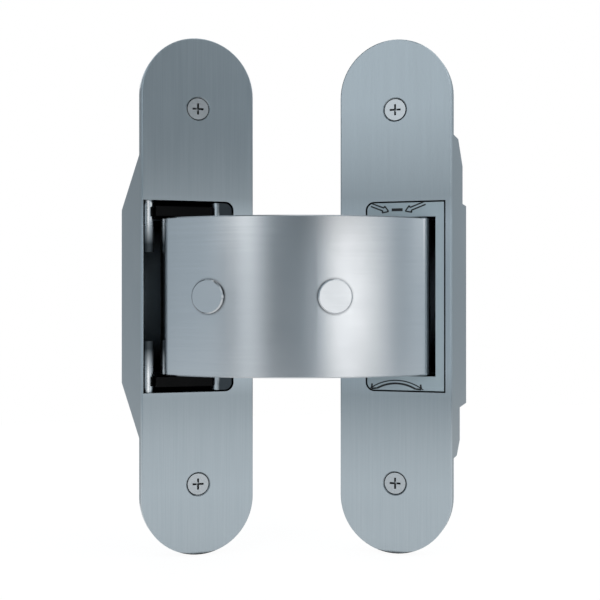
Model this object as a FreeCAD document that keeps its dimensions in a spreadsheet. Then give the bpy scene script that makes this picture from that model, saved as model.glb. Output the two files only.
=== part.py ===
import FreeCAD, Part
import math
import os
import Sketcher

# Concealed door hinge: two stadium faced bodies let into the jamb and the door, and one wide arched arm between them.
# Row frame: the jamb body's own frame. The origin is the centre of its flange seat, X runs across the
# plate towards the door body, Y runs into the jamb and Z is up. Sizes are in millimetres and degrees.

SIZES = {
    # Face plates, both alike
    "plate_length": 134.0,
    "plate_width": 29.3,
    "cover_thickness": 2.0,
    "flange_thickness": 2.6,
    "cover_edge_bevel": 0.25,
    # Cut-outs in the plates, from the plates' straight edges: outer is the edge away from the other leaf
    "cutout_above_guides": 1.5,
    "cutout_corner": 2.3,
    "left_cutout_outer_edge": 0.35,
    "left_cutout_inner_edge": 5.25,
    "right_cutout_outer_edge": 1.45,
    "right_cutout_inner_edge": 6.85,
    # Screws of the cover plates and fixing holes of the flanges
    "cover_screw_spacing": 97.4,
    "cover_screw_radius": 1.5,
    "cover_screw_head_radius": 2.75,
    "cover_screw_length": 6.4,
    "cover_hole_radius": 1.65,
    "countersink_radius": 3.2,
    "recess_length": 2.9,
    "recess_width": 0.5,
    "recess_depth": 1.1,
    "thread_clearance": 0.04,
    "cover_screw_sunk": 0.25,
    "boss_radius": 3.4,
    "boss_depth": 2.6,
    "fixing_outer_spacing": 115.0,
    "left_fixing_inner_spacing": 83.0,
    "right_fixing_inner_spacing": 78.0,
    "fixing_hole_radius": 2.6,
    "fixing_sink_radius": 4.7,
    # Housings: walls round the hollow, and the shoulders above and below it
    "wall_inner": 0.75,
    "left_wall_outer": 0.8,
    "right_wall_outer": 1.45,
    "wall_back": 1.3,
    "left_wall_end": 1.3,
    "left_slope_rise": 12.2,
    "right_roof": 2.2,
    "right_floor": 6.7,
    "right_upper_rise": 10.3,
    "right_lower_drop": 8.8,
    "right_shoulder_half_height": 42.2,
    "right_upper_depth": 21.0,
    "right_lower_depth": 15.6,
    "housing_edge_round": 1.2,
    "rib_radius": 1.75,
    "rib_depth": 3.6,
    "rib_clear_height": 11.5,
    # The arm's pins in each body: with the hinge closed they stand by the inner wall and deep in the
    # hollow, and with it fully open they stand near the outer edge and the face
    "pin_closed_side": 0.3,
    "left_pin_closed_deep": 35.0,
    "right_pin_closed_deep": 24.8,
    "left_pin_open_edge": 6.65,
    "right_pin_open_edge": 7.05,
    "left_pin_open_deep": 4.2,
    "right_pin_open_deep": 5.0,
    "door_gap": 5.0,
    "full_turn": 90.0,
    "rest_turn": 73.0,
    # The arm
    "arm_half_height": 20.3,
    "arm_crown": 2.3,
    "arm_thickness": 4.6,
    "arm_leg": 7.0,
    "arm_shoulder": 5.2,
    "knuckle_radius": 2.8,
    "arm_edge_bevel": 0.3,
    "ear_thickness": 4.0,
    "ear_radius": 2.4,
    "cam_past_middle": 1.0,
    "cam_behind": 0.5,
    "ear_clearance": 1.0,
    "cap_radius": 4.35,
    "cap_proud": 1.0,
    "cap_seat": 1.4,
    "cap_edge_bevel": 0.3,
    "cap_gap": 0.03,
    "left_cap_across": 21.9,
    "right_cap_across": 9.8,
    # Pins, rollers and washers
    "pin_radius": 2.0,
    "pin_running_gap": 0.05,
    "pin_end_radius": 1.4,
    "roller_radius": 2.3,
    "roller_gap": 0.02,
    "track_gap": 0.06,
    "cam_pin_radius": 1.4,
    "cam_gap": 0.15,
    "washer_radius": 2.7,
    "washer_thickness": 0.35,
    "end_gap": 0.2,
    # Guide plates and the pieces between them
    "guide_clearance": 0.5,
    "guide_thickness": 2.5,
    "guide_front": 0.6,
    "guide_tongue_side": 2.8,
    "guide_tongue_depth": 5.4,
    "guide_screw_radius": 1.25,
    "guide_screw_head": 2.3,
    "guide_screw_length": 3.9,
    "guide_thread_depth": 1.7,
    "left_screw_edge": 4.85,
    "left_screw_first": 17.0,
    "left_screw_second": 31.5,
    "right_screw_edge": 4.4,
    "right_screw_first": 14.5,
    "right_screw_second": 23.0,
    "insert_gap": 0.4,
    "insert_front": 0.2,
    "insert_thickness": 1.8,
    "insert_slot_side": 0.2,
    "insert_slot_margin": 2.6,
    "insert_slot_clearance": 0.4,
    "block_from_middle": 4.1,
    "block_gap": 0.2,
    "block_edge_round": 1.4,
    "block_front": 0.6,
    "block_back": 4.4,
}

doc = FreeCAD.newDocument("concealed_hinge")
sheet = doc.addObject("Spreadsheet::Sheet", "Sizes")
for row, (alias, number) in enumerate(SIZES.items(), start=1):
    sheet.set("A%d" % row, alias)
    sheet.set("B%d" % row, str(number))
    sheet.setAlias("B%d" % row, alias)
doc.recompute()


class Size:
    """A length that knows its number and the sheet formula that it comes from."""

    def __init__(self, number, formula):
        self.number = number
        self.formula = formula

    def __add__(self, other):
        other = as_size(other)
        return Size(self.number + other.number, "(%s + %s)" % (self.formula, other.formula))

    def __sub__(self, other):
        other = as_size(other)
        return Size(self.number - other.number, "(%s - %s)" % (self.formula, other.formula))

    def __mul__(self, factor):
        return Size(self.number * factor, "(%s * %s)" % (self.formula, factor))

    def __truediv__(self, divisor):
        return Size(self.number / divisor, "(%s / %s)" % (self.formula, divisor))

    def __neg__(self):
        return self * -1


def as_size(value):
    return value if isinstance(value, Size) else Size(float(value), "%s mm" % float(value))


def size(alias):
    return Size(SIZES[alias], "Sizes.%s * 1 mm" % alias)


ZERO = as_size(0)
X_AXIS = FreeCAD.Vector(1, 0, 0)
Z_AXIS = FreeCAD.Vector(0, 0, 1)
HERE = FreeCAD.Placement()

# Each node's finished object, by name
nodes = {}


def finish(node, thing, placement=HERE):
    """Give a sub-part its name and its place in the row frame."""
    thing.Label = node
    thing.Placement = placement.multiply(thing.Placement)
    nodes[node] = thing


# Sketches and features

def body(name):
    return doc.addObject("PartDesign::Body", name)


def plane_of(owner, role):
    return [f for f in owner.Origin.OriginFeatures if f.Role == role][0]


def sketch(owner, name, role, offset=ZERO):
    """A sketch on one of the body's own planes, moved along that plane's normal."""
    drawn = owner.newObject("Sketcher::SketchObject", name)
    drawn.AttachmentSupport = [(plane_of(owner, role), "")]
    drawn.MapMode = "FlatFace"
    drawn.AttachmentOffset = FreeCAD.Placement(FreeCAD.Vector(0, 0, offset.number), FreeCAD.Rotation())
    drawn.setExpression(".AttachmentOffset.Base.z", offset.formula)
    return drawn


def bind(drawn, kind, *where):
    """Add one dimension to a sketch and tie it to its sheet formula."""
    value = where[-1]
    index = drawn.addConstraint(Sketcher.Constraint(kind, *where[:-1], value.number))
    label = "size_%d" % index
    drawn.renameConstraint(index, label)
    drawn.setExpression("Constraints." + label, value.formula)


def pin_point(drawn, element, end, across, up):
    bind(drawn, "DistanceX", -1, 1, element, end, across)
    bind(drawn, "DistanceY", -1, 1, element, end, up)


def polygon(drawn, corners):
    """A closed outline through corners, each tied to the sketch's origin."""
    points = [FreeCAD.Vector(a.number, b.number, 0) for a, b in corners]
    count = len(points)
    first = drawn.GeometryCount
    for i in range(count):
        drawn.addGeometry(Part.LineSegment(points[i], points[(i + 1) % count]), False)
    for i in range(count):
        following = first + (i + 1) % count
        drawn.addConstraint(Sketcher.Constraint("Coincident", first + i, 2, following, 1))
    for i, (across, up) in enumerate(corners):
        pin_point(drawn, first + i, 1, across, up)


def rectangle(drawn, left, right, low, high):
    polygon(drawn, [(left, low), (right, low), (right, high), (left, high)])


def circle(drawn, across, up, radius):
    centre = FreeCAD.Vector(across.number, up.number, 0)
    index = drawn.addGeometry(Part.Circle(centre, Z_AXIS, radius.number), False)
    pin_point(drawn, index, 3, across, up)
    bind(drawn, "Radius", index, radius)


def slot(drawn, start, stop, radius):
    """A stadium outline: two equal arcs about start and stop, and the tangents between them."""
    a = FreeCAD.Vector(start[0].number, start[1].number, 0)
    b = FreeCAD.Vector(stop[0].number, stop[1].number, 0)
    heading = math.atan2(b.y - a.y, b.x - a.x)
    side = FreeCAD.Vector(-math.sin(heading), math.cos(heading), 0) * radius.number
    quarter = math.pi / 2
    far = Part.ArcOfCircle(Part.Circle(b, Z_AXIS, radius.number), heading - quarter, heading + quarter)
    near = Part.ArcOfCircle(Part.Circle(a, Z_AXIS, radius.number), heading + quarter, heading + 3 * quarter)
    first = drawn.GeometryCount
    drawn.addGeometry([far, Part.LineSegment(b + side, a + side), near, Part.LineSegment(a - side, b - side)], False)
    for one, other in ((0, 1), (1, 2), (2, 3), (3, 0)):
        drawn.addConstraint(Sketcher.Constraint("Tangent", first + one, 2, first + other, 1))
    pin_point(drawn, first, 3, *stop)
    pin_point(drawn, first + 2, 3, *start)
    bind(drawn, "Radius", first, radius)


def feature(owner, kind, name, profile, length, both_ways=False, reverse=False):
    made = owner.newObject("PartDesign::" + kind, name)
    made.Profile = profile
    made.Length = length.number
    made.setExpression("Length", length.formula)
    made.Midplane = both_ways
    made.Reversed = reverse
    return made


def shape_edges(owner, kind, name, base, amount, chosen):
    doc.recompute()
    picked = ["Edge%d" % (i + 1) for i, edge in enumerate(base.Shape.Edges) if chosen(edge)]
    made = owner.newObject("PartDesign::" + kind, name)
    made.Base = (base, picked)
    measure = "Radius" if kind == "Fillet" else "Size"
    setattr(made, measure, amount.number)
    made.setExpression(measure, amount.formula)
    return made


def round_edges(owner, name, base, radius, chosen):
    """Round the edges of base for which chosen(edge) is true."""
    return shape_edges(owner, "Fillet", name, base, radius, chosen)


def bevel_edges(owner, name, base, width, chosen):
    """Break the edges of base for which chosen(edge) is true."""
    return shape_edges(owner, "Chamfer", name, base, width, chosen)


def lies_at(edge, axis, level):
    """True where the whole edge lies at that height along the axis."""
    box = edge.BoundBox
    low, high = {"x": (box.XMin, box.XMax), "y": (box.YMin, box.YMax), "z": (box.ZMin, box.ZMax)}[axis]
    return abs(low - level) < 1e-4 and abs(high - level) < 1e-4


# Plain solids for small pieces

def cylinder(name, radius, height, start=ZERO):
    made = doc.addObject("Part::Cylinder", name)
    made.setExpression("Radius", radius.formula)
    made.setExpression("Height", height.formula)
    made.setExpression(".Placement.Base.z", start.formula)
    return made


def cone(name, radius_low, radius_high, height, start=ZERO):
    made = doc.addObject("Part::Cone", name)
    made.setExpression("Radius1", radius_low.formula)
    made.setExpression("Radius2", radius_high.formula)
    made.setExpression("Height", height.formula)
    made.setExpression(".Placement.Base.z", start.formula)
    return made


def box(name, length, width, height, start):
    """A box centred on the Z axis."""
    made = doc.addObject("Part::Box", name)
    made.setExpression("Length", length.formula)
    made.setExpression("Width", width.formula)
    made.setExpression("Height", height.formula)
    made.setExpression(".Placement.Base.x", (length / -2).formula)
    made.setExpression(".Placement.Base.y", (width / -2).formula)
    made.setExpression(".Placement.Base.z", start.formula)
    return made


def fuse(name, *pieces):
    made = doc.addObject("Part::MultiFuse", name)
    made.Shapes = list(pieces)
    return made


def cut(name, base, tool):
    made = doc.addObject("Part::Cut", name)
    made.Base = base
    made.Tool = tool
    return made


def group(name, pieces):
    """Identical pieces in one node, as separate solids."""
    made = doc.addObject("Part::Compound", name)
    made.Links = pieces
    return made


def copies(name, source, placements):
    """The same piece again at each placement."""
    made = []
    for i, placement in enumerate(placements):
        again = doc.addObject("Part::Feature", "%s_%d" % (name, i + 1))
        again.Shape = source.Shape
        again.Placement = placement.multiply(source.Placement)
        made.append(again)
    return group(name, made)


# Sizes that several pieces share

half_width = size("plate_width") / 2
end_centre = size("plate_length") / 2 - half_width
seat = size("cover_thickness") + size("flange_thickness")
guide_inner_height = size("arm_half_height") + size("guide_clearance")
guide_outer_height = guide_inner_height + size("guide_thickness")
cutout_half_height = guide_outer_height + size("cutout_above_guides")
track_radius = size("roller_radius") + size("track_gap")
reach = (size("left_pin_closed_deep") + size("right_pin_closed_deep") + size("door_gap")) / 2


class Side:
    """One leaf of the hinge: where its pin runs, how deep it is and which way is outwards."""

    def __init__(self, name, outwards):
        self.name = name
        self.outwards = outwards
        self.cavity_outer = half_width - size(name + "_wall_outer")
        self.cavity_inner = half_width - size("wall_inner")
        self.cutout_outer = half_width - size(name + "_cutout_outer_edge")
        self.cutout_inner = half_width - size(name + "_cutout_inner_edge")
        closed_across = size("knuckle_radius") + size("pin_closed_side") - self.cavity_inner
        self.closed = (closed_across, size(name + "_pin_closed_deep"))
        self.opened = (half_width - size(name + "_pin_open_edge"), size(name + "_pin_open_deep"))
        self.depth = self.closed[1] + size("knuckle_radius") + size("end_gap") * 2 + size("wall_back")
        self.screw_across = self.cavity_outer - size(name + "_screw_edge")

    def point(self, across, deep):
        """A point of the leaf in its own frame: across is outwards, deep is from the face."""
        return across * self.outwards, deep - seat

    def pin_at(self, turn):
        """Where the arm's pin is, as numbers, when the arm has turned that far from closed."""
        share = turn / size("full_turn").number
        return [a.number + (b.number - a.number) * share for a, b in zip(self.closed, self.opened)]

    def cam_at(self, turn):
        """Where the cam pin is at that turn: along the chord from the pin, and a little behind it."""
        angle = math.radians(turn)
        chord = (-math.sin(angle), -math.cos(angle))
        crown = (math.cos(angle), -math.sin(angle))
        pin = self.pin_at(turn)
        along, behind = cam_along.number, size("cam_behind").number
        return [p + along * c - behind * n for p, c, n in zip(pin, chord, crown)]


left = Side("left", -1)
right = Side("right", 1)
cam_along = left.opened[0] + size("cam_past_middle")
arm_rise = right.opened[0] - right.closed[0] + size("arm_crown")

# Where the arm and the door leaf stand at rest, part way open

rest_turn = size("rest_turn").number
left_pin = left.pin_at(rest_turn)
right_pin = right.pin_at(rest_turn)
arm_turn = FreeCAD.Rotation(Z_AXIS, rest_turn - 90)
leaf_turn = FreeCAD.Rotation(Z_AXIS, 2 * rest_turn - 180)
left_pin_place = FreeCAD.Vector(-left_pin[0], left_pin[1] - seat.number, 0)
arm_place = FreeCAD.Placement(left_pin_place + arm_turn.multVec(X_AXIS * reach.number), arm_turn)
right_pin_place = left_pin_place + arm_turn.multVec(X_AXIS * reach.number * 2)
right_pin_local = FreeCAD.Vector(right_pin[0], right_pin[1] - seat.number, 0)
leaf_place = FreeCAD.Placement(right_pin_place - leaf_turn.multVec(right_pin_local), leaf_turn)
PLACES = {"left": HERE, "right": leaf_place}


# Cover plates: a stamped plate with full round ends, the cut-out and two countersunk screw holes

def front_sketch(owner, name, deep):
    """A sketch on a plane across the leaf at that depth, seen from the face: x across, y up."""
    return sketch(owner, name, "XZ_Plane", seat - deep)


def stadium(drawn):
    slot(drawn, (ZERO, -end_centre), (ZERO, end_centre), half_width)


def half_round_box(drawn, plain, rounded, half_height, radius):
    """A tall outline with square corners at plain and round corners at rounded."""
    turn = 1 if rounded.number > plain.number else -1
    inset = rounded - radius * turn
    low, high = -half_height * turn, half_height * turn
    near, far = low + radius * turn, high - radius * turn
    begin = -turn * math.pi / 2
    quarter = math.pi / 2

    def at(across, up):
        return FreeCAD.Vector(across.number, up.number, 0)

    first = drawn.GeometryCount
    drawn.addGeometry([
        Part.LineSegment(at(plain, low), at(inset, low)),
        Part.ArcOfCircle(Part.Circle(at(inset, near), Z_AXIS, radius.number), begin, begin + quarter),
        Part.LineSegment(at(rounded, near), at(rounded, far)),
        Part.ArcOfCircle(Part.Circle(at(inset, far), Z_AXIS, radius.number), begin + quarter, begin + 2 * quarter),
        Part.LineSegment(at(inset, high), at(plain, high)),
        Part.LineSegment(at(plain, high), at(plain, low)),
    ], False)
    for one in range(4):
        drawn.addConstraint(Sketcher.Constraint("Tangent", first + one, 2, first + one + 1, 1))
    drawn.addConstraint(Sketcher.Constraint("Coincident", first + 4, 2, first + 5, 1))
    drawn.addConstraint(Sketcher.Constraint("Coincident", first + 5, 2, first, 1))
    pin_point(drawn, first + 1, 3, inset, near)
    pin_point(drawn, first + 3, 3, inset, far)
    pin_point(drawn, first + 5, 1, plain, high)
    pin_point(drawn, first + 5, 2, plain, low)
    bind(drawn, "Radius", first + 1, radius)


def mouth_cut(owner, leaf, name, deep, length):
    """Cut the leaf's tall opening through a plate: its inner corners are round."""
    drawn = front_sketch(owner, name + "_outline", deep)
    half_round_box(drawn, leaf.cutout_outer * leaf.outwards, leaf.cutout_inner * -leaf.outwards,
                   cutout_half_height, size("cutout_corner"))
    feature(owner, "Pocket", name, drawn, length)


def cover_plate(leaf):
    plate = body(leaf.name + "_cover")
    outline = front_sketch(plate, "outline", size("cover_thickness"))
    stadium(outline)
    feature(plate, "Pad", "plate", outline, size("cover_thickness"))
    mouth_cut(plate, leaf, "opening", ZERO, size("cover_thickness"))
    doc.recompute()
    holes = front_sketch(plate, "screw_places", ZERO)
    for up in (size("cover_screw_spacing") / 2, size("cover_screw_spacing") / -2):
        circle(holes, ZERO, up, size("cover_hole_radius"))
    doc.recompute()
    drilled = plate.newObject("PartDesign::Hole", "screw_holes")
    drilled.Profile = holes
    drilled.DepthType = "ThroughAll"
    drilled.ThreadType = "None"
    drilled.setExpression("Diameter", (size("cover_hole_radius") * 2).formula)
    drilled.HoleCutType = "Countersink"
    drilled.HoleCutCustomValues = True
    drilled.setExpression("HoleCutDiameter", (size("countersink_radius") * 2).formula)
    drilled.HoleCutCountersinkAngle = 90
    doc.recompute()
    front = -seat.number
    outside = half_width.number

    def on_rim(edge):
        middle = edge.valueAt((edge.FirstParameter + edge.LastParameter) / 2)
        beyond = max(abs(middle.z) - end_centre.number, 0)
        return lies_at(edge, "y", front) and abs(math.hypot(middle.x, beyond) - outside) < 1e-3

    plate.Tip = bevel_edges(plate, "rim", drilled, size("cover_edge_bevel"), on_rim)
    finish(leaf.name + "_cover_plate", plate, PLACES[leaf.name])


# Small countersunk screws, made head down along Z and then turned into place

def countersunk_screw(name, head_radius, shank_radius, length, recessed):
    head_height = head_radius - shank_radius
    head = cone(name + "_head", head_radius, shank_radius, head_height)
    shank = cylinder(name + "_shank", shank_radius, length)
    whole = fuse(name + "_blank", head, shank)
    arms = [
        box(name + "_recess_a", size("recess_length"), size("recess_width"), recessed * 2, -recessed),
        box(name + "_recess_b", size("recess_width"), size("recess_length"), recessed * 2, -recessed),
    ]
    made = cut(name, whole, fuse(name + "_recess", *arms))
    doc.recompute()
    return made


def cover_screws(leaf):
    screw = countersunk_screw(leaf.name + "_cover_screw", size("cover_screw_head_radius"),
                              size("cover_screw_radius") - size("thread_clearance"),
                              size("cover_screw_length"), size("recess_depth"))
    inwards = FreeCAD.Rotation(X_AXIS, -90)
    level = (size("cover_screw_sunk") - seat).number
    spots = [FreeCAD.Vector(0, level, up * size("cover_screw_spacing").number / 2) for up in (1, -1)]
    made = copies(leaf.name + "_cover_screws_set", screw, [FreeCAD.Placement(s, inwards) for s in spots])
    finish(leaf.name + "_cover_screws", made, PLACES[leaf.name])


# Housings: one casting each, with the flange, the hollow box behind it and the bosses for the cover screws

def side_profile(leaf):
    """The box seen from the side: depth from the seat, and height."""
    root = leaf.depth - seat
    if leaf is left:
        end = guide_outer_height + size("left_wall_end")
        tall = end + size("left_slope_rise")
        return [(ZERO, tall), (ZERO, -tall), (root, -end), (root, end)]
    shoulder = size("right_shoulder_half_height")
    upper, lower = size("right_upper_depth") - seat, size("right_lower_depth") - seat
    top, foot = guide_outer_height + size("right_roof"), -guide_outer_height - size("right_floor")
    upper_corner, lower_corner = top + size("right_upper_rise"), foot - size("right_lower_drop")
    return [(ZERO, shoulder), (ZERO, -shoulder), (lower / 2, -shoulder), (lower, lower_corner), (lower, foot),
            (root, foot), (root, top), (upper, top), (upper, upper_corner), (upper / 2, shoulder)]


def housing(leaf):
    cast = body(leaf.name + "_cast")
    outline = front_sketch(cast, "flange_outline", seat)
    stadium(outline)
    feature(cast, "Pad", "flange", outline, size("flange_thickness"))
    profile = sketch(cast, "box_profile", "YZ_Plane")
    polygon(profile, side_profile(leaf))
    boxed = feature(cast, "Pad", "box", profile, size("plate_width"), both_ways=True)
    deep_end = leaf.depth.number - seat.number
    softened = round_edges(cast, "box_edges", boxed, size("housing_edge_round"),
                           lambda e: lies_at(e, "y", deep_end))
    bosses = front_sketch(cast, "boss_outline", seat)
    for up in (size("cover_screw_spacing") / 2, size("cover_screw_spacing") / -2):
        circle(bosses, ZERO, up, size("boss_radius"))
    feature(cast, "Pad", "bosses", bosses, size("boss_depth"), reverse=True)

    # The hollow behind the plate, and the wider mouth in the flange
    hollow = front_sketch(cast, "hollow_outline", seat)
    edges = sorted([leaf.cavity_inner * -leaf.outwards, leaf.cavity_outer * leaf.outwards],
                   key=lambda s: s.number)
    rectangle(hollow, edges[0], edges[1], -guide_outer_height, guide_outer_height)
    feature(cast, "Pocket", "hollow", hollow, leaf.depth - size("wall_back") - seat)
    mouth_cut(cast, leaf, "mouth", size("cover_thickness"), size("flange_thickness"))

    # Threaded holes for the cover screws, and countersunk holes for the screws into the wood
    threads = front_sketch(cast, "thread_places", size("cover_thickness"))
    for up in (size("cover_screw_spacing") / 2, size("cover_screw_spacing") / -2):
        circle(threads, ZERO, up, size("cover_screw_radius"))
    feature(cast, "Pocket", "threads", threads, size("flange_thickness") + size("boss_depth"))
    doc.recompute()
    fixings = front_sketch(cast, "fixing_places", size("cover_thickness"))
    for spacing in (size("fixing_outer_spacing"), size(leaf.name + "_fixing_inner_spacing")):
        for up in (spacing / 2, spacing / -2):
            circle(fixings, ZERO, up, size("fixing_hole_radius"))
    doc.recompute()
    drilled = cast.newObject("PartDesign::Hole", "fixing_holes")
    drilled.Profile = fixings
    drilled.DepthType = "ThroughAll"
    drilled.ThreadType = "None"
    drilled.setExpression("Diameter", (size("fixing_hole_radius") * 2).formula)
    drilled.HoleCutType = "Countersink"
    drilled.HoleCutCustomValues = True
    drilled.setExpression("HoleCutDiameter", (size("fixing_sink_radius") * 2).formula)
    drilled.HoleCutCountersinkAngle = 90
    cast.Tip = drilled
    doc.recompute()

    # Threaded holes above and below the hollow for the screws of the guide plates
    for level, name in ((1, "upper"), (-1, "lower")):
        taps = sketch(cast, name + "_guide_threads", "XY_Plane", guide_outer_height * level)
        for deep in (size(leaf.name + "_screw_first"), size(leaf.name + "_screw_second")):
            spot = leaf.point(leaf.screw_across, deep)
            circle(taps, *spot, size("guide_screw_radius") + size("thread_clearance"))
        feature(cast, "Pocket", name + "_guide_taps", taps, size("guide_thread_depth"), reverse=level > 0)
    doc.recompute()

    # Two half round guide ribs stand in the mouth of the jamb body, against its outer wall
    if leaf is left:
        ribs = sketch(cast, "rib_outline", "XY_Plane", size("rib_clear_height"))
        arm_side = leaf.opened[0] + size("knuckle_radius")
        rib_centre = leaf.point(arm_side + size("end_gap") + size("rib_radius"), size("rib_depth"))
        circle(ribs, *rib_centre, size("rib_radius"))
        tall = cutout_half_height - size("rib_clear_height")
        upper = feature(cast, "Pad", "upper_rib", ribs, tall)
        doc.recompute()
        low_ribs = sketch(cast, "low_rib_outline", "XY_Plane", -size("rib_clear_height"))
        circle(low_ribs, *rib_centre, size("rib_radius"))
        lower = feature(cast, "Pad", "lower_rib", low_ribs, tall, reverse=True)
        cast.Tip = lower
    doc.recompute()
    finish(leaf.name + "_housing", cast, PLACES[leaf.name])


# Guide plates: hardened plates above and below the arm. The roller runs in the straight track, and
# the cam pin in the curved one, so the arm has to turn as it slides.

def cam_track(leaf):
    """The curved track, cut right through: two smooth sides and a round end at each stop."""
    places, little = 13, 0.01
    radius = (size("cam_pin_radius") + size("cam_gap")).number
    centres, sides = [], {1: [], -1: []}
    for i in range(places):
        turn = size("full_turn").number * i / (places - 1)
        here = FreeCAD.Vector(*leaf.cam_at(turn), 0)
        heading = FreeCAD.Vector(*leaf.cam_at(turn + little), 0) - FreeCAD.Vector(*leaf.cam_at(turn - little), 0)
        heading.normalize()
        centres.append(here)
        for hand in sides:
            sides[hand].append(here + FreeCAD.Vector(-heading.y, heading.x, 0) * radius * hand)
    caps = []
    for end, ahead in ((0, -1), (-1, 1)):
        heading = (centres[end] - centres[end + ahead * -1]).normalize()
        tip = centres[end] + heading * radius
        caps.append(Part.Arc(sides[1][end], tip, sides[-1][end]).toShape())
    walls = []
    for hand in sides:
        curve = Part.BSplineCurve()
        curve.interpolate(sides[hand])
        walls.append(curve.toShape())
    return Part.Face(Part.Wire(Part.__sortEdges__(walls + caps)))


def guide_outline(leaf):
    """The plate's outline, across and deep."""
    back = leaf.depth - size("wall_back")
    shoulder = size("guide_tongue_depth")
    outer = leaf.opened[0] + size("guide_tongue_side")
    if leaf is left:
        front, inner = size("guide_front"), size("block_gap") - size("block_from_middle")
    else:
        front, inner = size("insert_front") + size("insert_thickness"), size("insert_gap") - leaf.cutout_inner
    return [(-leaf.cavity_inner, shoulder), (inner, shoulder), (inner, front), (outer, front),
            (outer, shoulder), (leaf.cavity_outer, shoulder), (leaf.cavity_outer, back),
            (-leaf.cavity_inner, back)]


def guide_plate(leaf, level, hand):
    name = "%s_guide_plate_%s" % (leaf.name, level)
    plate = body(name + "_blank")
    base = guide_inner_height if hand > 0 else -guide_outer_height
    outline = sketch(plate, "outline", "XY_Plane", base)
    polygon(outline, [leaf.point(across, deep) for across, deep in guide_outline(leaf)])
    thick = guide_outer_height - guide_inner_height
    feature(plate, "Pad", "plate", outline, thick)
    track = sketch(plate, "track_outline", "XY_Plane", base)
    slot(track, leaf.point(*leaf.closed), leaf.point(*leaf.opened), track_radius)
    feature(plate, "Pocket", "track", track, thick, reverse=True)
    doc.recompute()
    inner_face = sketch(plate, "screw_places", "XY_Plane", guide_inner_height * hand)
    for deep in (size(leaf.name + "_screw_first"), size(leaf.name + "_screw_second")):
        spot = leaf.point(leaf.screw_across, deep)
        circle(inner_face, *spot, size("guide_screw_radius") + size("thread_clearance"))
    doc.recompute()
    drilled = plate.newObject("PartDesign::Hole", "screw_holes")
    drilled.Profile = inner_face
    drilled.Reversed = hand > 0
    drilled.DepthType = "ThroughAll"
    drilled.ThreadType = "None"
    drilled.setExpression("Diameter", ((size("guide_screw_radius") + size("thread_clearance")) * 2).formula)
    drilled.HoleCutType = "Countersink"
    drilled.HoleCutCustomValues = True
    drilled.setExpression("HoleCutDiameter", ((size("guide_screw_head") + size("thread_clearance")) * 2).formula)
    drilled.HoleCutCountersinkAngle = 90
    doc.recompute()
    cutter = doc.addObject("Part::Feature", name + "_cam_cutter")
    face = cam_track(leaf)
    if leaf is left:
        face = face.mirror(FreeCAD.Vector(), X_AXIS)
    face.translate(FreeCAD.Vector(0, -seat.number, (base - thick).number))
    cutter.Shape = face.extrude(Z_AXIS * (thick * 3).number)
    made = cut(name, plate, cutter)
    doc.recompute()
    finish(name, made, PLACES[leaf.name])


def guide_screws(leaf):
    screw = countersunk_screw(leaf.name + "_guide_screw", size("guide_screw_head"), size("guide_screw_radius"),
                              size("guide_screw_length"), size("recess_depth"))
    spots = []
    for hand in (1, -1):
        upright = FreeCAD.Rotation(X_AXIS, 0 if hand > 0 else 180)
        for deep in (size(leaf.name + "_screw_first"), size(leaf.name + "_screw_second")):
            across, along = leaf.point(leaf.screw_across, deep)
            level = guide_inner_height.number * hand
            spots.append(FreeCAD.Placement(FreeCAD.Vector(across.number, along.number, level), upright))
    made = copies(leaf.name + "_guide_screws_set", screw, spots)
    finish(leaf.name + "_guide_screws", made, PLACES[leaf.name])


# The arm: one casting, arched in plan from three tangent arcs, with a knuckle along each end

def arch_outline(half_span, rise, leg, shoulder):
    """Points of a three centred arch: straight legs, a shoulder arc each side and the crown arc."""
    centre = half_span - shoulder
    crown = (centre ** 2 + (rise - leg) ** 2 - shoulder ** 2) / (2 * (rise - leg - shoulder))
    meet = math.atan2(leg - (rise - crown), centre)
    middle = meet / 2
    side = [
        (half_span, 0.0),
        (half_span, leg),
        (centre + shoulder * math.cos(middle), leg + shoulder * math.sin(middle)),
        (centre + shoulder * math.cos(meet), leg + shoulder * math.sin(meet)),
    ]
    return crown, side


def arch_edges(side, rise):
    """The edges of the arch from one foot to the other. The crown is towards the viewer."""
    foot, leg, middle, meet = [FreeCAD.Vector(x, -y, 0) for x, y in side]
    other = [FreeCAD.Vector(-x, -y, 0) for x, y in side]
    top = FreeCAD.Vector(0, -rise, 0)
    return [
        Part.LineSegment(foot, leg),
        Part.Arc(leg, middle, meet),
        Part.Arc(meet, top, other[3]),
        Part.Arc(other[3], other[2], other[1]),
        Part.LineSegment(other[1], other[0]),
    ]


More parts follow.
